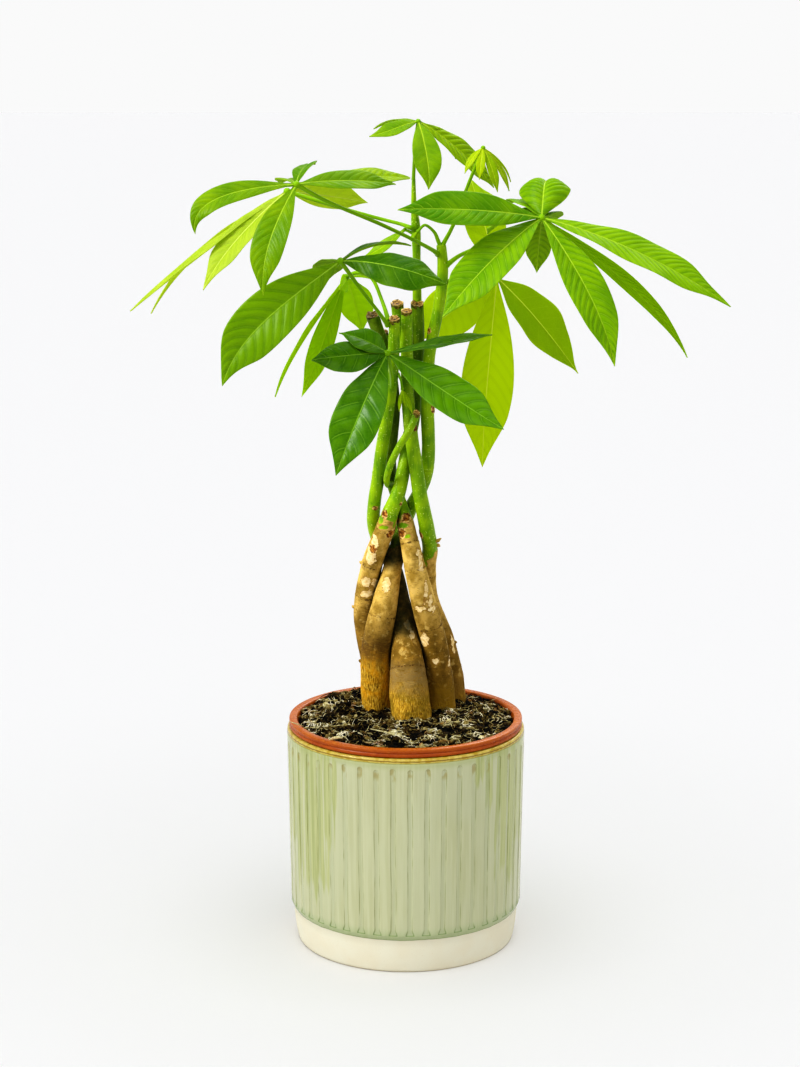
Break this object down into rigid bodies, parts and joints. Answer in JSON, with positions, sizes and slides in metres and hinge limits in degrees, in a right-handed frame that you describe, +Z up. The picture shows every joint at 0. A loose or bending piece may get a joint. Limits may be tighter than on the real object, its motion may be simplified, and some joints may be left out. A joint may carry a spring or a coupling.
{
  "type": "potted money tree",
  "caption": "Small money tree with plaited stems and palmate leaves, in a plastic nursery pot set into a round grooved cover pot; stands on its flat underside.",
  "frame": {"origin": "centre of the cover pot's flat underside, where it stands on the floor", "axes": "+Z up along the pot's axis to the top leaf; +X to the side of the longest leaf, which reaches furthest from the stems; +Y away from the side the plant is shown from"},
  "size_m": [0.2941, 0.1292, 0.4213],
  "materials": {
    "glaze": "streaky sage-green gloss glaze over cream clay, bare clay foot",
    "terracotta_plastic": "satin moulded plastic, terracotta colour",
    "peat": "dark crumbly potting mix with fibres and grit",
    "bark": "tan cracked bark below, smooth green skin above",
    "leaf": "waxy green leaf with paler ribs"
  },
  "bodies": {
    "root": {"cover_pot": "glaze", "nursery_pot": "terracotta_plastic", "soil": "peat", "trunk_1": "bark", "trunk_2": "bark", "trunk_3": "bark", "trunk_4": "bark", "trunk_5": "bark", "leaf_left": "leaf", "leaf_left_low": "leaf", "leaf_middle": "leaf", "leaf_middle_low": "leaf", "leaf_front": "leaf", "leaf_right": "leaf", "leaf_right_low": "leaf", "leaf_top": "leaf", "leaf_young": "leaf", "leaf_node": "leaf", "leaf_bud": "leaf", "leaf_sprout": "leaf"}
  },
  "joints": []
}
